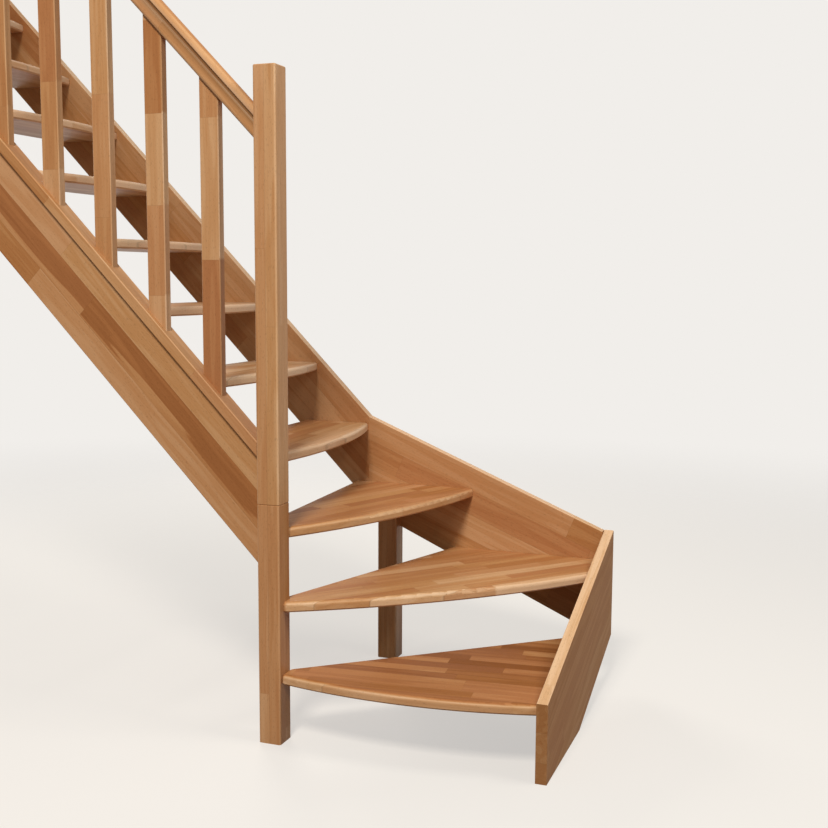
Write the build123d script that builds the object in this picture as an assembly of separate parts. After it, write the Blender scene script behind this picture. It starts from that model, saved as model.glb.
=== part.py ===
from build123d import *
import math
import os

# Quarter-turn winder stair in edge-glued beech, in millimetres. The origin is the centre of the
# newel's foot. +X runs along the wall towards the entry, +Y towards the wall, +Z up.

# Rise and plan
riser = 210.0
going = 206.0
tread_count = 12
winder_count = 4
entry_clear = 755.0  # newel to entry string
turn_clear = 804.0  # newel to wall strings
flight_start = 220.0  # newel to the first straight nosing

# Newels and support post
newel_size = 70.0
newel_height = 1930.0
newel_joint = 707.0  # height of the butt joint between the two lengths
newel_ease = 7.0
newel_cap_chamfer = 2.5
newel_joint_chamfer = 2.0  # on both lengths, so that the joint shows as a fine groove
newel_drop = 45.0  # top newel below the inner string
newel_over_rail = 110.0  # top newel above the handrail
newel_set_back = 52.0  # top newel behind the landing's nosing
support_offset = 32.0  # support post's centre from the newel's centre

# Strings
string_thick = 32.0
wall_string_width = 218.0  # square to the rake
inner_string_width = 226.0
string_margin = 20.0  # string's top edge above the nosings
string_ease = 3.0
housing = 12.0
entry_set_back = 18.0  # entry string behind the newel's front face
entry_height = 224.0
corner_top = 516.0  # where the entry and wall strings meet
corner_low = 155.0
wall_joint = 17.0  # joint of the two wall strings, past the newel
wall_joint_low = 530.0

# Treads
tread_thick = 30.0
nose_radius = 12.0  # rounding of the nosing's upper edge
nose_chamfer = 5.0  # along its lower edge
nose_bow = 48.0
nose_corner = 15.0  # rounding of the two lowest treads in plan, beside the newel
tread_lap = 36.0  # tread running back behind the nosing above
turn_lap_newel = 17.0
turn_lap_wall = 60.0
nose_4_wall = 22.0  # fourth nosing's wall end, past the newel
nose_newel_shares = (0.14, 0.30, 0.07, 0.83)  # along the newel's side, then along its back
nose_entry_shares = (0.047, 0.769)  # along the entry string
nose_wall_share = 0.40  # along the lower wall string
flat_of_round_share = 2 - math.sqrt(2)  # of a rounding's radius, a flat that just clears it

# Balustrade
shoe_wide = 62.0
shoe_thick = 30.0
shoe_ease = 4.0
shoe_groove = 8.0
rail_wide = 56.0
rail_thick = 63.0
rail_ease = 10.0
rail_lip = 29.0
rail_cove_top = 45.0
rail_cove_deep = 6.5
rail_groove = 8.0
rail_rise = 884.0  # plumb height from the string's top edge to the handrail's underside
baluster_count = 10
baluster_wide = 60.0
baluster_thick = 28.0
baluster_chamfer = 2.5

# Clearance round a housed tread, and run-on of cutting shapes
fit_gap = 0.3
overrun = 50.0
newel_tuck = 2.5  # run-on of the two lowest treads inside the newel

half_newel = newel_size / 2
entry_face = half_newel + entry_clear
wall_face = half_newel + turn_clear
inner_face = string_thick / 2
slope = riser / going
plumb = math.hypot(1, slope)  # plumb height of a unit thickness that is square to the rake
first_straight = winder_count + 1
straight_run = (tread_count + 1 - first_straight) * going
balustrade_run = flight_start + straight_run + newel_set_back
baluster_gap = (balustrade_run - baluster_count * baluster_wide) / (baluster_count + 1)
top_newel_face = -half_newel - balustrade_run
trimmer_face = top_newel_face - newel_size
joint_x = -half_newel - wall_joint


def straight_nose(number):
    return -half_newel - flight_start - (number - first_straight) * going


def string_top(x):
    return first_straight * riser + string_margin + slope * (straight_nose(first_straight) - x)


def block(low, high):
    size = [b - a for a, b in zip(low, high)]
    return Pos(*low) * Box(*size, align=(Align.MIN, Align.MIN, Align.MIN))


def raked(x_from, x_to, below, above, y_from, y_to):
    # A plumb-cut length on the rake, between two heights from the strings' top line.
    corners = [
        (x_from, y_from, string_top(x_from) + below),
        (x_to, y_from, string_top(x_to) + below),
        (x_to, y_from, string_top(x_to) + above),
        (x_from, y_from, string_top(x_from) + above),
    ]
    return extrude(make_face(Polyline(*corners, close=True)), amount=y_to - y_from, dir=(0, 1, 0))


def nosing(number):
    # The two ends of a tread's front edge in plan: at the newel or inner string, and at the outer string.
    if number <= 2:
        newel_share = nose_newel_shares[number - 1]
        entry_share = nose_entry_shares[number - 1]
        inner = Vector(half_newel, -half_newel + newel_share * newel_size)
        return inner, Vector(entry_face, -half_newel + entry_share * (newel_size + turn_clear))
    if number <= winder_count:
        inner = Vector(half_newel - nose_newel_shares[number - 1] * newel_size, half_newel)
        wall_ends = (half_newel + nose_wall_share * entry_clear, -half_newel - nose_4_wall)
        return inner, Vector(wall_ends[number - 3], wall_face)
    x = straight_nose(number)
    return Vector(x, inner_face), Vector(x, wall_face)


def back_edge(number):
    # Each tread runs back behind the nosing of the tread above.
    inner, outer = nosing(number + 1)
    if number == 1:
        return inner + Vector(0, tread_lap), outer + Vector(0, tread_lap)
    if number == 2:
        return inner - Vector(turn_lap_newel, 0), outer - Vector(turn_lap_wall, 0)
    return inner - Vector(tread_lap, 0), outer - Vector(tread_lap, 0)


def tread_slab(number, room):
    # Bowed front with a rounded nose, straight back. With room it is the cutter of a housing: larger all
    # round, and with a flat in place of the rounding.
    inner, outer = nosing(number)
    along = (outer - inner).normalized()
    ahead = Vector(along.Y, -along.X)
    chord = (outer - inner).length
    bend = (chord**2 / 4 + nose_bow**2) / (2 * nose_bow)
    centre = (inner + outer) * 0.5 - ahead * (bend - nose_bow)
    reach = newel_tuck if number <= 2 else overrun
    sweep_in = math.asin(chord / 2 / bend) + reach / bend
    sweep_out = math.asin(chord / 2 / bend) + overrun / bend
    radius = bend + room
    front_in = centre + (ahead * math.cos(sweep_in) - along * math.sin(sweep_in)) * radius
    front_out = centre + (ahead * math.cos(sweep_out) + along * math.sin(sweep_out)) * radius
    front = ThreePointArc(front_in, centre + ahead * radius, front_out)

    back_in, back_out = back_edge(number)
    back_along = (back_out - back_in).normalized()
    behind = Vector(-back_along.Y, back_along.X) * room
    back_in = back_in + behind - back_along * reach
    back_out = back_out + behind + back_along * overrun
    turn = [Vector(entry_face + overrun, wall_face + overrun)] if number == 2 else []
    rest = Polyline(front_out, *turn, back_out, back_in, front_in)
    plan = make_face(front + rest)
    if number <= 2:
        plan = fillet(plan.vertices().sort_by_distance(front_in)[0], nose_corner + room)
    slab = extrude(plan, amount=tread_thick + 2 * room, dir=(0, 0, 1))
    slab = Pos(0, 0, number * riser - tread_thick - room) * slab
    slab = chamfer(slab.edges().filter_by(GeomType.CIRCLE).group_by(Axis.Z)[0], nose_chamfer)
    upper = slab.edges().filter_by(GeomType.CIRCLE).group_by(Axis.Z)[-1]
    return chamfer(upper, nose_radius * flat_of_round_share) if room else fillet(upper, nose_radius)


def tread_in_housings(number, room):
    depth = housing + room
    y_low = inner_face - depth if number > 2 else -half_newel - nose_bow - overrun
    low = (trimmer_face - overrun, y_low, 0)
    high = (entry_face + depth, wall_face + depth, (tread_count + 1) * riser)
    return tread_slab(number, room) & block(low, high)


def tread(number):
    newel = block((-half_newel, -half_newel, 0), (half_newel, half_newel, newel_height))
    return tread_in_housings(number, 0) - newel


def with_housings(board, numbers):
    for number in numbers:
        board = board - tread_in_housings(number, fit_gap)
    return board


def eased(board, thickness_axis):
    # Rounds the two long edges of each side of a board.
    sides = board.faces().filter_by(thickness_axis)
    long_edges = [edge for side in sides for edge in side.edges().sort_by(SortBy.LENGTH)[-2:]]
    return fillet(long_edges, string_ease)


def entry_string():
    front = -half_newel + entry_set_back
    back = wall_face + string_thick
    rise = (corner_top - entry_height) / (back - front)
    floor_end = back - corner_low / rise
    corners = [
        (entry_face, front, 0),
        (entry_face, front, entry_height),
        (entry_face, back, corner_top),
        (entry_face, back, corner_low),
        (entry_face, floor_end, 0),
    ]
    board = extrude(make_face(Polyline(*corners, close=True)), amount=string_thick, dir=(1, 0, 0))
    return with_housings(eased(board, Axis.X), (1, 2))


def wall_string_lower_blank():
    corners = [
        (entry_face, wall_face, corner_low),
        (entry_face, wall_face, corner_top),
        (joint_x, wall_face, string_top(joint_x)),
        (joint_x, wall_face, wall_joint_low),
    ]
    return extrude(make_face(Polyline(*corners, close=True)), amount=string_thick, dir=(0, 1, 0))


def wall_string_upper():
    depth = wall_string_width * plumb
    board = raked(joint_x, trimmer_face, -depth, 0, wall_face, wall_face + string_thick)
    return with_housings(eased(board, Axis.Y), range(3, tread_count + 1))


def inner_string():
    depth = inner_string_width * plumb
    board = raked(-half_newel, top_newel_face, -depth, 0, -inner_face, inner_face)
    return with_housings(eased(board, Axis.Y), range(3, tread_count + 1))


def post(x, y, z_from, z_to):
    low = (x - half_newel, y - half_newel, z_from)
    high = (x + half_newel, y + half_newel, z_to)
    solid = block(low, high)
    return fillet(solid.edges().filter_by(Axis.Z), newel_ease)


def top_chamfered(solid, size):
    return chamfer(solid.faces().sort_by(Axis.Z)[-1].edges(), size)


def foot_chamfered(solid, size):
    return chamfer(solid.faces().sort_by(Axis.Z)[0].edges(), size)


def support_post():
    y = wall_face + string_thick - half_newel
    under_tread = 3 * riser - tread_thick
    return post(support_offset, y, 0, under_tread) - wall_string_lower_blank()


def newel_upper():
    solid = foot_chamfered(post(0, 0, newel_joint, newel_height), newel_joint_chamfer)
    return top_chamfered(solid, newel_cap_chamfer)


def newel_top():
    x = top_newel_face - half_newel
    z_from = string_top(top_newel_face) - inner_string_width * plumb - newel_drop
    z_to = string_top(top_newel_face) + rail_rise + rail_thick * plumb + newel_over_rail
    return top_chamfered(post(x, 0, z_from, z_to), newel_cap_chamfer)


def shoe_rail():
    top = shoe_thick * plumb
    half = shoe_wide / 2
    blank = raked(-half_newel, top_newel_face, 0, top, -half, half)
    upper_face = blank.faces().sort_by(lambda face: face.normal_at().Z)[-1]
    blank = fillet(upper_face.edges().sort_by(SortBy.LENGTH)[-2:], shoe_ease)
    slot = baluster_thick / 2
    return blank - raked(-half_newel, top_newel_face, top - shoe_groove * plumb, top, -slot, slot)


def handrail():
    half = rail_wide / 2
    slot = baluster_thick / 2
    waist = (rail_lip + rail_cove_top) / 2
    cove_left = ThreePointArc((-half, rail_lip), (-half + rail_cove_deep, waist), (-half, rail_cove_top))
    crown = ThreePointArc((-half, rail_cove_top), (0, rail_thick), (half, rail_cove_top))
    cove_right = ThreePointArc((half, rail_cove_top), (half - rail_cove_deep, waist), (half, rail_lip))
    under = Polyline(
        (half, rail_lip),
        (half, 0),
        (slot, 0),
        (slot, rail_groove),
        (-slot, rail_groove),
        (-slot, 0),
        (-half, 0),
        (-half, rail_lip),
    )
    section = make_face(cove_left + crown + cove_right + under)
    lowest = section.vertices().group_by(Axis.Y)[0].sort_by(Axis.X)
    section = fillet([lowest[0], lowest[-1]], rail_ease)
    start_x = -half_newel + overrun + rail_thick * plumb
    start = (start_x, 0, string_top(start_x) + rail_rise)
    rake = Plane(origin=start, x_dir=(0, -1, 0), z_dir=(-1, 0, slope))
    run = (balustrade_run + 2 * (overrun + rail_thick * plumb)) * plumb
    length = extrude(rake * section, amount=run, dir=rake.z_dir)
    clear = block((top_newel_face, -rail_wide, 0), (-half_newel, rail_wide, string_top(trimmer_face) * 2))
    return length & clear


def baluster_x(number):
    return -half_newel - number * baluster_gap - (number - 1) * baluster_wide


shoe_seat = (shoe_thick - shoe_groove) * plumb
rail_seat = rail_rise + rail_groove * plumb


def baluster(number):
    x = baluster_x(number)
    slot = baluster_thick / 2
    solid = raked(x, x - baluster_wide, shoe_seat, rail_seat, -slot, slot)
    return chamfer(solid.edges().filter_by(Axis.Z), baluster_chamfer)


def groove_fillets(below, above):
    # The strips that fill a groove from newel to baluster, between balusters, and to the top newel.
    slot = baluster_thick / 2
    starts = [-half_newel] + [baluster_x(n) - baluster_wide for n in range(1, baluster_count + 1)]
    strips = [raked(x, x - baluster_gap, below, above, -slot, slot) for x in starts]
    return Compound(children=strips)


def all_pieces():
    pieces = {
        "newel_lower": top_chamfered(post(0, 0, 0, newel_joint), newel_joint_chamfer),
        "newel_upper": newel_upper(),
        "newel_top": newel_top(),
        "support_post": support_post(),
        "entry_string": entry_string(),
        "wall_string_lower": with_housings(eased(wall_string_lower_blank(), Axis.Y), (2, 3)),
        "wall_string_upper": wall_string_upper(),
        "inner_string": inner_string(),
        "shoe_rail": shoe_rail(),
        "shoe_fillets": groove_fillets(shoe_seat, shoe_thick * plumb),
        "handrail": handrail(),
        "rail_fillets": groove_fillets(rail_rise, rail_seat),
    }
    for number in range(1, tread_count + 1):
        pieces[f"tread_{number:02d}"] = tread(number)
    for number in range(1, baluster_count + 1):
        pieces[f"baluster_{number:02d}"] = baluster(number)
    return pieces


os.makedirs("parts", exist_ok=True)
for name, solid in all_pieces().items():
    export_step(solid, f"parts/{name}.step")
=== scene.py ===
import math

import bpy
from mathutils import Matrix, Vector


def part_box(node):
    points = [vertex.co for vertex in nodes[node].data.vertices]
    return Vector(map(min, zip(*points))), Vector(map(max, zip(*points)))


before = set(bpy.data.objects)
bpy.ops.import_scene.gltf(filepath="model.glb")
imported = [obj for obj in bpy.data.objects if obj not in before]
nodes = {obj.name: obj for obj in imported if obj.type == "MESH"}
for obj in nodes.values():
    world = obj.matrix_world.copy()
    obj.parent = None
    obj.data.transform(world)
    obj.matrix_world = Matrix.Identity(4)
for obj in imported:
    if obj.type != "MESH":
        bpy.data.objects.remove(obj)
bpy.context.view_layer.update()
print("frame loaded,", len(nodes), "pieces")

# the straight flight's slope, from two treads that follow each other
lowerNose, upperNose = (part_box(name)[1] for name in ("tread_05", "tread_06"))
riser = upperNose[2] - lowerNose[2]
flightRise = math.degrees(math.atan2(riser, lowerNose[0] - upperNose[0]))


def hexToLinear(code):
    parts = [int(code[at:at + 2], 16) / 255 for at in (1, 3, 5)]
    return tuple(p / 12.92 if p <= 0.04045 else ((p + 0.055) / 1.055) ** 2.4 for p in parts) + (1.0,)


def addNode(tree, kind, settings=None, values=None, links=None):
    node = tree.nodes.new(kind)
    for name, setting in (settings or {}).items():
        setattr(node, name, setting)
    for name, value in (values or {}).items():
        node.inputs[name].default_value = value
    for name, socket in (links or {}).items():
        tree.links.new(socket, node.inputs[name])
    return node


# Beech, cut into short blocks that are finger-jointed into staves and edge-glued into boards, then
# satin lacquered: the eye sees blocks that differ in tone, thin dark glue lines, fine straight grain
# and pale figure.
beech = {
    "toneStops": ((0.0, "#855128"), (0.3, "#A56E40"), (0.55, "#B98859"), (0.8, "#CBA278"),
                  (1.0, "#DCBA96")),
    "pinkTone": "#BA8062",      # steamed blocks lean to pink
    "pinkShare": 0.22,
    "grainLength": 0.110,       # fibre streaks
    "grainWidth": 0.0026,
    "grainDetail": 3.0,
    "figureLength": 0.36,       # growth rings on flat-sawn blocks
    "figureWidth": 0.024,
    "figureDetail": 1.0,
    "ringTurn": 24.0,           # radians of ring over the figure's whole range
    "fleckLength": 0.0095,      # rays are finer than this, drawn coarser so that they show
    "fleckWidth": 0.0025,
    "fleckDetail": 1.0,
    "fleckStart": 0.60,
    "fleckFull": 0.72,
    "octaveShare": 0.6,         # strength of each finer layer of a pattern
    "patternShift": 40.0,       # furthest that one block's pattern lies from the next
    "glueWidth": 0.0009,        # glue lines are finer too
    "jointWidth": 0.0009,
    "fingerPitch": 0.0038,
    "fingerDepth": 0.0090,
    "stretchLow": 0.70,         # a block is between these shares of the stave length
    "stretchRange": 0.60,
    "rowShift": 29.0,           # most blocks that a row is moved along by
    "levelSeed": 17.0,          # seed step from one layer of staves to the next
    "grainTone": 0.20,
    "ringTone": 0.04,
    "figureTone": 0.34,
    "glueDark": 0.24,
    "jointDark": 0.20,
    "fleckDark": 0.20,
    "edgeStart": 0.45,          # a face turned this far to the board's edge is paler, as sanded wood and as painted highlight on lit top edges and nosings
    "edgeFull": 0.92,
    "arrisHighlight": 0.20,          # corners between face and edge are paler still, a painted highlight
    "arrisStart": 0.25,
    "arrisFull": 0.48,
    "endDark": 0.22,            # end grain drinks more lacquer
    "endStart": 0.55,
    "endFull": 0.95,
    "heartDark": 0.30,          # red heart in one stave, with a wandering edge
    "heartDrift": 0.100,
    "heartEdge": 0.004,
    "coveDark": 0.46,           # painted shade that a moulded cove would hold, darkening the wood there
    "grainRoughness": 0.14,
    "ior": 1.5,
    "bumpDepth": 0.0004,
    "bumpStrength": 0.35,
}
half = 0.5     # middle of a draw or a pattern, which run from 0 to 1

# what a board sets on the stave group, by the group's input
staveInputs = {
    "Stave width": "staveWidth", "Stave length": "staveLength", "Level step": "levelStep", "Seed": "seed",
    "Contrast": "contrast", "Tone": "tone", "Edge tone and highlight": "edgeToneAndHighlight", "Gloss roughness": "roughness",
    "Heart row": "heartRow", "Heart depth": "heartDepth",
    "Cove shade place": "coveShadePlace", "Cove shade reach": "coveShadeReach",
}
# a board is one layer of staves, with no red heart and no painted cove shade, unless it says otherwise
plainBoard = {"levelStep": 100.0, "heartRow": -10, "heartDepth": 0.0, "coveShadePlace": -10.0,
              "coveShadeReach": 0.001}
edgeMargin = 0.004     # keeps glue lines off the faces that bound a board


# which stave and which block: fingers interlock through the board's depth, so its face shows a
# straight joint
def addBlocks(tree, given, axes):
    rows = addNode(tree, "ShaderNodeMath", {"operation": "DIVIDE"},
                   links={0: axes["Y"], 1: given["Stave width"]})
    rowNo = addNode(tree, "ShaderNodeMath", {"operation": "FLOOR"}, links={0: rows.outputs[0]})
    rowPart = addNode(tree, "ShaderNodeMath", {"operation": "FRACT"}, links={0: rows.outputs[0]})
    levels = addNode(tree, "ShaderNodeMath", {"operation": "DIVIDE"},
                     links={0: axes["Z"], 1: given["Level step"]})
    levelNo = addNode(tree, "ShaderNodeMath", {"operation": "FLOOR"}, links={0: levels.outputs[0]})
    rowSeed = addNode(tree, "ShaderNodeMath", {"operation": "MULTIPLY_ADD"}, {1: beech["levelSeed"]},
                      {0: levelNo.outputs[0], 2: rowNo.outputs[0]})
    seeded = addNode(tree, "ShaderNodeMath", {"operation": "ADD"},
                     links={0: rowSeed.outputs[0], 1: given["Seed"]})
    rowDraw = addNode(tree, "ShaderNodeTexWhiteNoise", {"noise_dimensions": "1D"},
                      links={"W": seeded.outputs[0]})

    finger = addNode(tree, "ShaderNodeMath", {"operation": "PINGPONG"}, {1: beech["fingerPitch"] / 2},
                     {0: axes["Z"]})
    fingered = addNode(tree, "ShaderNodeMath", {"operation": "MULTIPLY_ADD"},
                       {1: 2 * beech["fingerDepth"] / beech["fingerPitch"]},
                       {0: finger.outputs[0], 2: axes["X"]})
    stretch = addNode(tree, "ShaderNodeMath", {"operation": "MULTIPLY_ADD"},
                      {1: beech["stretchRange"], 2: beech["stretchLow"]}, {0: rowDraw.outputs["Value"]})
    size = addNode(tree, "ShaderNodeMath", {"operation": "MULTIPLY"},
                   links={0: stretch.outputs[0], 1: given["Stave length"]})
    run = addNode(tree, "ShaderNodeMath", {"operation": "DIVIDE"},
                  links={0: fingered.outputs[0], 1: size.outputs[0]})
    shifted = addNode(tree, "ShaderNodeMath", {"operation": "MULTIPLY_ADD"}, {1: beech["rowShift"]},
                      {0: rowDraw.outputs["Value"], 2: run.outputs[0]})
    blockNo = addNode(tree, "ShaderNodeMath", {"operation": "FLOOR"}, links={0: shifted.outputs[0]})
    part = addNode(tree, "ShaderNodeMath", {"operation": "FRACT"}, links={0: shifted.outputs[0]})
    key = addNode(tree, "ShaderNodeCombineXYZ", links={"X": seeded.outputs[0], "Y": blockNo.outputs[0]})
    draw = addNode(tree, "ShaderNodeTexWhiteNoise", {"noise_dimensions": "2D"},
                   links={"Vector": key.outputs[0]})
    return {"rowNo": rowNo.outputs[0], "rowPart": rowPart.outputs[0], "part": part.outputs[0],
            "size": size.outputs[0], "draw": draw.outputs}


# grain, figure and flecks, each drawn afresh in every block
def addPatterns(tree, place, draw):
    shift = addNode(tree, "ShaderNodeVectorMath", {"operation": "SCALE"}, {"Scale": beech["patternShift"]},
                    {0: draw["Color"]})
    patterns = {}
    for name in ("grain", "figure", "fleck"):
        across = 1 / beech[name + "Width"]
        spread = addNode(tree, "ShaderNodeVectorMath", {"operation": "MULTIPLY_ADD"},
                         {1: (1 / beech[name + "Length"], across, across)}, {0: place, 2: shift.outputs[0]})
        noise = addNode(tree, "ShaderNodeTexNoise",
                        values={"Scale": 1.0, "Detail": beech[name + "Detail"],
                                "Roughness": beech["octaveShare"]},
                        links={"Vector": spread.outputs[0]})
        patterns[name] = noise.outputs["Fac"]
    for name in ("grain", "figure"):
        swing = addNode(tree, "ShaderNodeMath", {"operation": "SUBTRACT"}, {1: half}, {0: patterns[name]})
        patterns[name + "Swing"] = swing.outputs[0]
    return patterns


# the block's own tone, then grain, rings and figure on top
def addWoodTone(tree, given, draw, patterns):
    blockSwing = addNode(tree, "ShaderNodeMath", {"operation": "SUBTRACT"}, {1: half}, {0: draw["Value"]})
    blockTone = addNode(tree, "ShaderNodeMath", {"operation": "MULTIPLY_ADD"},
                        links={0: blockSwing.outputs[0], 1: given["Contrast"], 2: given["Tone"]})
    grainTone = addNode(tree, "ShaderNodeMath", {"operation": "MULTIPLY_ADD"}, {1: beech["grainTone"]},
                        {0: patterns["grainSwing"], 2: blockTone.outputs[0]})
    ringTurns = addNode(tree, "ShaderNodeMath", {"operation": "MULTIPLY"}, {1: beech["ringTurn"]},
                        {0: patterns["figure"]})
    rings = addNode(tree, "ShaderNodeMath", {"operation": "SINE"}, links={0: ringTurns.outputs[0]})
    ringTone = addNode(tree, "ShaderNodeMath", {"operation": "MULTIPLY_ADD"}, {1: beech["ringTone"]},
                       {0: rings.outputs[0], 2: grainTone.outputs[0]})
    figureTone = addNode(tree, "ShaderNodeMath", {"operation": "MULTIPLY_ADD"}, {1: beech["figureTone"]},
                         {0: patterns["figureSwing"], 2: ringTone.outputs[0]})
    return figureTone.outputs[0]


# red heart: one stave is darker from its glue line down to a wandering edge
def addHeart(tree, given, blocks, patterns, tone):
    inRow = addNode(tree, "ShaderNodeMath", {"operation": "COMPARE"}, {2: half},
                    {0: blocks["rowNo"], 1: given["Heart row"]})
    depth = addNode(tree, "ShaderNodeMath", {"operation": "MULTIPLY"},
                    links={0: blocks["rowPart"], 1: given["Stave width"]})
    drift = addNode(tree, "ShaderNodeMath", {"operation": "MULTIPLY_ADD"}, {1: beech["heartDrift"]},
                    {0: patterns["figureSwing"], 2: depth.outputs[0]})
    inside = addNode(tree, "ShaderNodeMath", {"operation": "SUBTRACT"},
                     links={0: given["Heart depth"], 1: drift.outputs[0]})
    heart = addNode(tree, "ShaderNodeMapRange", {"interpolation_type": "SMOOTHSTEP"},
                    {1: -beech["heartEdge"], 2: beech["heartEdge"], 3: 0.0, 4: -beech["heartDark"]},
                    {0: inside.outputs[0]})
    hearted = addNode(tree, "ShaderNodeMath", {"operation": "MULTIPLY_ADD"},
                      links={0: inRow.outputs[0], 1: heart.outputs[0], 2: tone})
    return hearted.outputs[0]


# edges are paler than the board's face, as sanded wood and as painted highlight, and the corners between
# them paler still as painted highlight
def addEdgesAndHighlights(tree, given, facing, tone):
    edgewise = addNode(tree, "ShaderNodeMath", {"operation": "ABSOLUTE"}, links={0: facing["Y"]})
    edgeShare = addNode(tree, "ShaderNodeMapRange", {"interpolation_type": "SMOOTHSTEP"},
                        {1: beech["edgeStart"], 2: beech["edgeFull"]}, {0: edgewise.outputs[0]})
    edgeToneAndHighlight = addNode(tree, "ShaderNodeMath", {"operation": "MULTIPLY_ADD"},
                       links={0: edgeShare.outputs[0], 1: given["Edge tone and highlight"], 2: tone})
    # painted highlight on the corners between face and edge
    facewise = addNode(tree, "ShaderNodeMath", {"operation": "ABSOLUTE"}, links={0: facing["Z"]})
    corner = addNode(tree, "ShaderNodeMath", {"operation": "MULTIPLY"},
                     links={0: edgewise.outputs[0], 1: facewise.outputs[0]})
    arris = addNode(tree, "ShaderNodeMapRange", {"interpolation_type": "SMOOTHSTEP"},
                    {1: beech["arrisStart"], 2: beech["arrisFull"], 3: 0.0, 4: beech["arrisHighlight"]},
                    {0: corner.outputs[0]})
    withEdgeHighlights = addNode(tree, "ShaderNodeMath", {"operation": "ADD"},
                     links={0: edgeToneAndHighlight.outputs[0], 1: arris.outputs[0]})
    return withEdgeHighlights.outputs[0]


# the tone's colour, with some blocks pinker than others
def addWoodColour(tree, tone, draw):
    ramp = addNode(tree, "ShaderNodeValToRGB", links={0: tone})
    stops = ramp.color_ramp.elements
    while len(stops) < len(beech["toneStops"]):
        stops.new(half)
    for stop, (at, code) in zip(stops, beech["toneStops"]):
        stop.position = at
        stop.color = hexToLinear(code)
    hues = addNode(tree, "ShaderNodeSeparateXYZ", links={0: draw["Color"]})
    pinkness = addNode(tree, "ShaderNodeMath", {"operation": "MULTIPLY"}, {1: beech["pinkShare"]},
                       {0: hues.outputs["Z"]})
    tinted = addNode(tree, "ShaderNodeMix", {"data_type": "RGBA"}, {7: hexToLinear(beech["pinkTone"])},
                     {0: pinkness.outputs[0], 6: ramp.outputs[0]})
    return tinted.outputs[2]


# what darkens the wood: glue lines between staves, joint lines between blocks, flecks, end grain, and
# painted shade in a cove
def addMarks(tree, given, axes, facing, blocks, patterns):
    marks = {}
    for name, part, size in (("glue", blocks["rowPart"], given["Stave width"]),
                             ("joint", blocks["part"], blocks["size"])):
        edge = addNode(tree, "ShaderNodeMath", {"operation": "PINGPONG"}, {1: half}, {0: part})
        away = addNode(tree, "ShaderNodeMath", {"operation": "MULTIPLY"},
                       links={0: edge.outputs[0], 1: size})
        marks[name] = addNode(tree, "ShaderNodeMapRange", {"interpolation_type": "SMOOTHSTEP"},
                              {1: 0.0, 2: beech[name + "Width"], 3: 1.0, 4: 0.0}, {0: away.outputs[0]})
    marks["fleck"] = addNode(tree, "ShaderNodeMapRange", {"interpolation_type": "SMOOTHSTEP"},
                             {1: beech["fleckStart"], 2: beech["fleckFull"]}, {0: patterns["fleck"]})
    endwise = addNode(tree, "ShaderNodeMath", {"operation": "ABSOLUTE"}, links={0: facing["X"]})
    marks["end"] = addNode(tree, "ShaderNodeMapRange", {"interpolation_type": "SMOOTHSTEP"},
                           {1: beech["endStart"], 2: beech["endFull"]}, {0: endwise.outputs[0]})
    # painted shade: darkest along the cove, fading out over its reach
    pastCoveShade = addNode(tree, "ShaderNodeMath", {"operation": "SUBTRACT"},
                       links={0: axes["Y"], 1: given["Cove shade place"]})
    coveShadeAway = addNode(tree, "ShaderNodeMath", {"operation": "ABSOLUTE"}, links={0: pastCoveShade.outputs[0]})
    marks["cove"] = addNode(tree, "ShaderNodeMapRange", {"interpolation_type": "SMOOTHSTEP"},
                            {1: 0.0, 3: 1.0, 4: 0.0}, {0: coveShadeAway.outputs[0], 2: given["Cove shade reach"]})
    return {name: mark.outputs[0] for name, mark in marks.items()}


def makeStaveTree():
    tree = bpy.data.node_groups.new("gluedStaves", "ShaderNodeTree")
    for name in ("Board place", "Board facing"):
        tree.interface.new_socket(name=name, in_out="INPUT", socket_type="NodeSocketVector")
    for name in staveInputs:
        tree.interface.new_socket(name=name, in_out="INPUT", socket_type="NodeSocketFloat")
    tree.interface.new_socket(name="Colour", in_out="OUTPUT", socket_type="NodeSocketColor")
    for name in ("Roughness", "Height"):
        tree.interface.new_socket(name=name, in_out="OUTPUT", socket_type="NodeSocketFloat")
    given = addNode(tree, "NodeGroupInput").outputs
    axes = addNode(tree, "ShaderNodeSeparateXYZ", links={0: given["Board place"]}).outputs
    facing = addNode(tree, "ShaderNodeSeparateXYZ", links={0: given["Board facing"]}).outputs

    blocks = addBlocks(tree, given, axes)
    patterns = addPatterns(tree, given["Board place"], blocks["draw"])
    tone = addWoodTone(tree, given, blocks["draw"], patterns)
    tone = addHeart(tree, given, blocks, patterns, tone)
    tone = addEdgesAndHighlights(tree, given, facing, tone)
    colour = addWoodColour(tree, tone, blocks["draw"])
    marks = addMarks(tree, given, axes, facing, blocks, patterns)
    for name, mark in marks.items():
        kept = addNode(tree, "ShaderNodeMath", {"operation": "MULTIPLY_ADD"},
                       {1: -beech[name + "Dark"], 2: 1.0}, {0: mark})
        darker = addNode(tree, "ShaderNodeVectorMath", {"operation": "SCALE"},
                         links={0: colour, "Scale": kept.outputs[0]})
        colour = darker.outputs[0]
    roughness = addNode(tree, "ShaderNodeMath", {"operation": "MULTIPLY_ADD"}, {1: beech["grainRoughness"]},
                        {0: patterns["grainSwing"], 2: given["Gloss roughness"]})
    height = addNode(tree, "ShaderNodeMath", {"operation": "SUBTRACT"},
                     links={0: patterns["grain"], 1: marks["glue"]})
    addNode(tree, "NodeGroupOutput",
            links={"Colour": colour, "Roughness": roughness.outputs[0], "Height": height.outputs[0]})
    return tree


staveTree = makeStaveTree()


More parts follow.
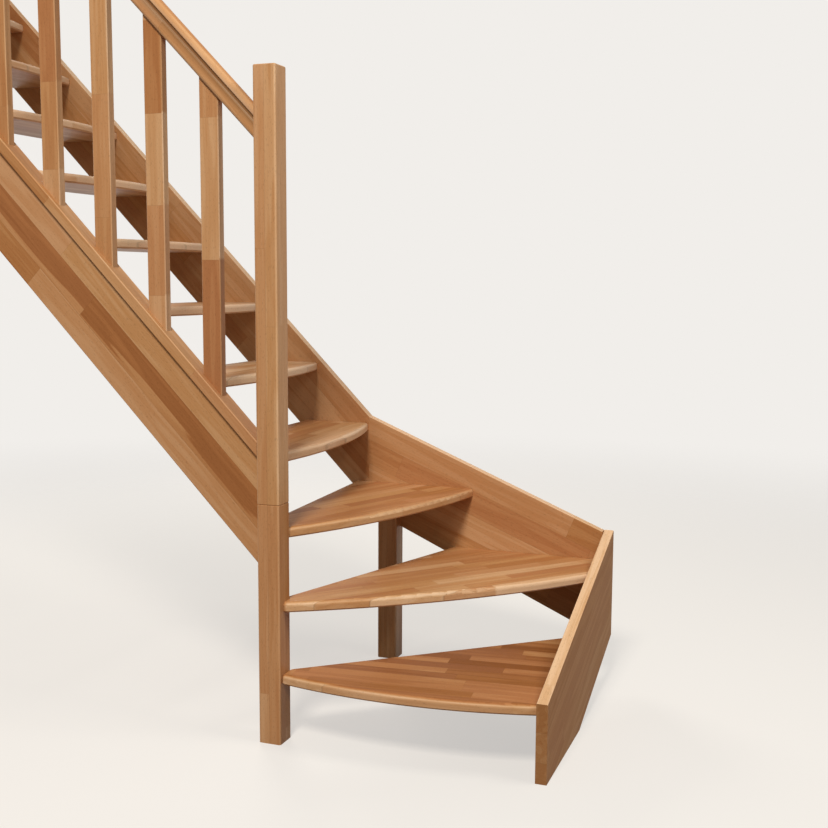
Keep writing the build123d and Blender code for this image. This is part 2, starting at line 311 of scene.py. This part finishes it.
def makeBeech(name, board):
    board = {**plainBoard, **board}
    along = Vector(board["along"]).normalized()
    across = Vector(board["facing"]).cross(along).normalized()
    boardAxes = Matrix((along, across, along.cross(across)))
    turn = boardAxes.to_euler("XYZ")
    shift = Vector((0, edgeMargin, edgeMargin)) - boardAxes @ Vector(board["edge"])
    material = bpy.data.materials.new(name)
    material.use_nodes = True
    tree = material.node_tree
    tree.nodes.clear()
    where = addNode(tree, "ShaderNodeTexCoord").outputs
    place = addNode(tree, "ShaderNodeMapping", {"vector_type": "POINT"},
                    {"Location": shift, "Rotation": turn}, {"Vector": where["Object"]})
    facing = addNode(tree, "ShaderNodeMapping", {"vector_type": "VECTOR"}, {"Rotation": turn},
                     {"Vector": where["Normal"]})
    staves = addNode(tree, "ShaderNodeGroup", {"node_tree": staveTree},
                     {socket: board[key] for socket, key in staveInputs.items()},
                     {"Board place": place.outputs[0], "Board facing": facing.outputs[0]})
    relief = addNode(tree, "ShaderNodeBump",
                     values={"Strength": beech["bumpStrength"], "Distance": beech["bumpDepth"]},
                     links={"Height": staves.outputs["Height"]})
    surface = addNode(tree, "ShaderNodeBsdfPrincipled",
                      values={"IOR": beech["ior"], "Specular IOR Level": board["specular"]},
                      links={"Base Color": staves.outputs["Colour"],
                             "Roughness": staves.outputs["Roughness"], "Normal": relief.outputs[0]})
    addNode(tree, "ShaderNodeOutputMaterial", links={"Surface": surface.outputs[0]})
    return material


def coat(material, *names):
    for name in names:
        for slot in nodes[name].material_slots:
            slot.material = material


# Posts: laminated squares, grain upright, two staves to a face.
posts = {
    "seeds": {"newel_lower": 14426, "newel_upper": 136, "newel_top": 45, "support_post": 52},
    "staveCount": 2,
    "staves": {"staveLength": 1.0, "contrast": 0.34, "tone": 0.55, "edgeToneAndHighlight": 0.06, "roughness": 0.42,
               "specular": 0.18},
}


def dressPosts():
    for name, seed in posts["seeds"].items():
        low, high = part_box(name)
        staveWidth = (high[0] - low[0] + 2 * edgeMargin) / posts["staveCount"]
        board = {**posts["staves"], "along": (0, 0, 1), "facing": (0, -1, 0),
                 "edge": (high[0], high[1], low[2]), "seed": seed,
                 "staveWidth": staveWidth, "levelStep": staveWidth}
        coat(makeBeech("beech_" + name, board), name)
    print("posts dressed")


# Strings: wide boards, staves along the slope and counted from the top edge. The rise is in degrees, and
# the corner says which end of the piece's box the staves start from on each axis.
strings = {
    "boards": {
        "entry_string": {"rise": 18.2, "run": (0, 1, 0), "facing": (-1, 0, 0), "corner": (1, 1, 1),
                         "seed": 5, "tone": 0.50, "contrast": 0.14, "specular": 0.02},
        "wall_string_lower": {"rise": 22.4, "seed": 11},
        "wall_string_upper": {"rise": flightRise, "seed": 23},
        "inner_string": {"rise": flightRise, "seed": 3239, "tone": 0.54, "heartRow": 1,
                         "heartDepth": 0.058},
    },
    "staves": {"run": (-1, 0, 0), "facing": (0, -1, 0), "corner": (0, 1, 1), "staveWidth": 0.080,
               "staveLength": 0.95, "contrast": 0.30, "tone": 0.52, "edgeToneAndHighlight": 0.44, "roughness": 0.46,
               "specular": 0.05},
}


def dressStrings():
    for name, string in strings["boards"].items():
        board = {**strings["staves"], **string}
        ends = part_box(name)
        rise = math.radians(board["rise"])
        board["along"] = Vector(board["run"]) * math.cos(rise) + Vector((0, 0, 1)) * math.sin(rise)
        board["edge"] = [ends[which][axis] for axis, which in enumerate(board["corner"])]
        coat(makeBeech("beech_" + name, board), name)
    print("strings dressed")


# Shoe rail and handrail: single lengths on the rake, glued from two staves. The handrail's painted cove
# shade is measured down from the crown.
rails = {
    "lengths": {
        "shoe_rail": {"fillets": "shoe_fillets", "seed": 61},
        # the handrail's cove gets painted shade
        "handrail": {"fillets": "rail_fillets", "seed": 70, "coveShadePlace": 0.030, "coveShadeReach": 0.022},
    },
    "staves": {"facing": (0, -1, 0), "staveWidth": 0.0355, "staveLength": 0.80, "contrast": 0.24,
               "tone": 0.50, "edgeToneAndHighlight": 0.04, "roughness": 0.45, "specular": 0.14},
}


def dressRails():
    rise = math.radians(flightRise)
    along = (-math.cos(rise), 0, math.sin(rise))
    for name, rail in rails["lengths"].items():
        low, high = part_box(name)
        board = {**rails["staves"], **rail, "along": along, "edge": (low[0], high[1], high[2])}
        coat(makeBeech("beech_" + name, board), name, rail["fillets"])
    print("rails dressed")


# Balusters: one stave each, so the staves are as wide as the balusters' spacing.
balusters = {"staveLength": 0.36, "contrast": 0.44, "tone": 0.51, "edgeToneAndHighlight": 0.18, "roughness": 0.42,
             "specular": 0.18, "seed": 19195}


def dressBalusters():
    names = sorted(name for name in nodes if name.startswith("baluster"))
    first, second = (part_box(name) for name in names[:2])
    spacing = first[0][0] - second[0][0]
    middle = (first[0][0] + first[1][0]) / 2
    board = {**balusters, "along": (0, 0, 1), "facing": (0, -1, 0), "staveWidth": spacing,
             "edge": (middle - spacing / 2, first[1][1], 0)}
    coat(makeBeech("beechBaluster", board), *names)
    print("balusters dressed")


# Treads: edge-glued boards, staves along each nosing. The turn is in degrees from +X: winders turn about
# the newel, straight treads lie along Y.
treads = {
    "winders": {
        # tread_01's low tone is partly painted shade, and its high edge tone is a painted highlight on its
        # nosing
        "tread_01": {"turn": 6, "tone": 0.20, "edgeToneAndHighlight": 0.60, "contrast": 0.5, "specular": 0.03},
        "tread_02": {"turn": 49, "tone": 0.53},
        "tread_03": {"turn": 67, "tone": 0.42},
        "tread_04": {"turn": 92, "tone": 0.52},
    },
    "staves": {"turn": 90, "staveWidth": 0.044, "staveLength": 0.46, "contrast": 0.42, "tone": 0.72,
               "edgeToneAndHighlight": 0.28, "roughness": 0.42, "specular": 0.14},
    "seed": 7,
    "seedStep": 13,
}


def dressTreads():
    winders = treads["winders"]
    straight = sorted(name for name in nodes if name.startswith("tread") and name not in winders)
    for number, name in enumerate([*winders, straight[0]]):
        board = {**treads["staves"], **winders.get(name, {})}
        turn = math.radians(board["turn"])
        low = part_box(name)[0]
        board.update(along=(math.cos(turn), math.sin(turn), 0), facing=(0, 0, 1), levelStep=riser,
                     edge=(low[0], low[1], low[2] - riser / 2),
                     seed=treads["seed"] + treads["seedStep"] * number)
        if name in winders:
            coat(makeBeech("beechWinder" + str(number + 1), board), name)
        else:
            coat(makeBeech("beechTread", board), *straight)
    print("treads dressed")


dressPosts()
dressStrings()
dressRails()
dressBalusters()
dressTreads()

# Studio: a pale floor that fades into a pale world, a large soft lamp high in front, weaker ones beside
# and behind. A lamp that does not shine leaves no highlight.
studio = {
    "floorColour": "#EAE6E0",
    "floorBounce": "#8C7B6C",     # what the floor throws back at the wood
    "floorGlow": 0.62,            # share of the shown floor that takes no shadow
    "worldColour": "#F1EEEA",
    "floorReach": 7.0,
    "fadeStart": 2.0,
    "worldLight": 0.18,
    "lampAim": (-0.2, 0.3, 1.1),
    "lamps": {
        "frontLamp": {"place": (1.0, -5.4, 6.8), "size": 1.7, "power": 585, "tint": "#FFF8EE",
                      "shines": True},
        "sideLamp": {"place": (2.6, 0.2, 3.8), "size": 1.2, "power": 53, "tint": "#FFFAF2",
                     "shines": True},
        "backLamp": {"place": (-2.6, 4.0, 3.2), "size": 1.8, "power": 110, "tint": "#FFFAF2",
                     "shines": False},
    },
}


# rays that show the backdrop, as against those that bring its light to the wood
def seenDirectly(tree):
    path = addNode(tree, "ShaderNodeLightPath").outputs
    seen = addNode(tree, "ShaderNodeMath", {"operation": "MAXIMUM"},
                   links={0: path["Is Camera Ray"], 1: path["Is Glossy Ray"]})
    shown = addNode(tree, "ShaderNodeMath", {"operation": "MAXIMUM"},
                    links={0: seen.outputs[0], 1: path["Is Transmission Ray"]})
    return shown.outputs[0]


def lightWorld(scene):
    scene.view_settings.view_transform = "Standard"
    world = bpy.data.worlds.new("paleWorld")
    scene.world = world
    world.use_nodes = True
    tree = world.node_tree
    tree.nodes.clear()
    light = addNode(tree, "ShaderNodeBackground",
                    values={"Color": (1, 1, 1, 1), "Strength": studio["worldLight"]})
    pale = addNode(tree, "ShaderNodeBackground", values={"Color": hexToLinear(studio["worldColour"])})
    mixed = addNode(tree, "ShaderNodeMixShader",
                    links={0: seenDirectly(tree), 1: light.outputs[0], 2: pale.outputs[0]})
    addNode(tree, "ShaderNodeOutputWorld", links={"Surface": mixed.outputs[0]})
    print("world lit")


# Matte floor paint: flat and pale, it takes a soft shadow and clears towards the rim.
def makeFloorPaint():
    paint = bpy.data.materials.new("matteFloorPaint")
    paint.use_nodes = True
    tree = paint.node_tree
    tree.nodes.clear()
    where = addNode(tree, "ShaderNodeTexCoord").outputs
    away = addNode(tree, "ShaderNodeVectorMath", {"operation": "LENGTH"}, links={0: where["Object"]})
    fade = addNode(tree, "ShaderNodeMapRange", {"interpolation_type": "SMOOTHSTEP"},
                   {1: studio["fadeStart"], 2: studio["floorReach"]}, {0: away.outputs["Value"]})
    matte = addNode(tree, "ShaderNodeBsdfDiffuse", values={"Color": hexToLinear(studio["floorColour"])})
    glow = addNode(tree, "ShaderNodeEmission", values={"Color": hexToLinear(studio["worldColour"])})
    paleFloor = addNode(tree, "ShaderNodeMixShader", values={0: studio["floorGlow"]},
                        links={1: matte.outputs[0], 2: glow.outputs[0]})
    bounce = addNode(tree, "ShaderNodeBsdfDiffuse", values={"Color": hexToLinear(studio["floorBounce"])})
    lit = addNode(tree, "ShaderNodeMixShader",
                  links={0: seenDirectly(tree), 1: bounce.outputs[0], 2: paleFloor.outputs[0]})
    clear = addNode(tree, "ShaderNodeBsdfTransparent")
    blended = addNode(tree, "ShaderNodeMixShader",
                      links={0: fade.outputs[0], 1: lit.outputs[0], 2: clear.outputs[0]})
    addNode(tree, "ShaderNodeOutputMaterial", links={"Surface": blended.outputs[0]})
    return paint


def layFloor(scene):
    mesh = bpy.data.meshes.new("floor")
    reach = studio["floorReach"]
    mesh.from_pydata([(-reach, -reach, 0), (reach, -reach, 0), (reach, reach, 0), (-reach, reach, 0)], [],
                     [(0, 1, 2, 3)])
    mesh.materials.append(makeFloorPaint())
    floor = bpy.data.objects.new("floor", mesh)
    scene.collection.objects.link(floor)
    print("floor laid")


def hangLamps(scene):
    for name, lamp in studio["lamps"].items():
        light = bpy.data.lights.new(name, "AREA")
        light.shape = "SQUARE"
        light.size = lamp["size"]
        light.energy = lamp["power"]
        light.color = hexToLinear(lamp["tint"])[:3]
        holder = bpy.data.objects.new(name, light)
        scene.collection.objects.link(holder)
        holder.location = lamp["place"]
        toStair = Vector(studio["lampAim"]) - Vector(lamp["place"])
        holder.rotation_euler = toStair.to_track_quat("-Z", "Y").to_euler()
        holder.visible_glossy = lamp["shines"]
    print("lamps hung,", len(studio["lamps"]))


# Camera: where the photograph was taken from.
viewpoint = {
    "place": (1.5184, -2.9206, 1.3528),
    "yaw": 20.43,       # degrees from +Y towards -X
    "pitch": 6.73,      # degrees down
    "roll": -0.309,
    "focal": 1155.3,    # pixels
    "image": 828,       # pixels
    "sensor": 36.0,     # mm
}


def makeCamera(scene):
    yaw, pitch, roll = (math.radians(viewpoint[name]) for name in ("yaw", "pitch", "roll"))
    forward = Vector((-math.sin(yaw) * math.cos(pitch), math.cos(yaw) * math.cos(pitch), -math.sin(pitch)))
    level = Vector((math.cos(yaw), math.sin(yaw), 0))
    plumb = forward.cross(level)
    right = level * math.cos(roll) + plumb * math.sin(roll)
    down = plumb * math.cos(roll) - level * math.sin(roll)
    lens = bpy.data.cameras.new("camera")
    lens.sensor_width = viewpoint["sensor"]
    lens.lens = viewpoint["focal"] / viewpoint["image"] * viewpoint["sensor"]
    camera = bpy.data.objects.new("camera", lens)
    scene.collection.objects.link(camera)
    aim = Matrix((right, -down, -forward)).transposed()
    camera.matrix_world = Matrix.Translation(viewpoint["place"]) @ aim.to_4x4()
    scene.camera = camera
    print("camera set,", round(lens.lens, 2), "mm lens")


lightWorld(bpy.context.scene)
layFloor(bpy.context.scene)
hangLamps(bpy.context.scene)
makeCamera(bpy.context.scene)
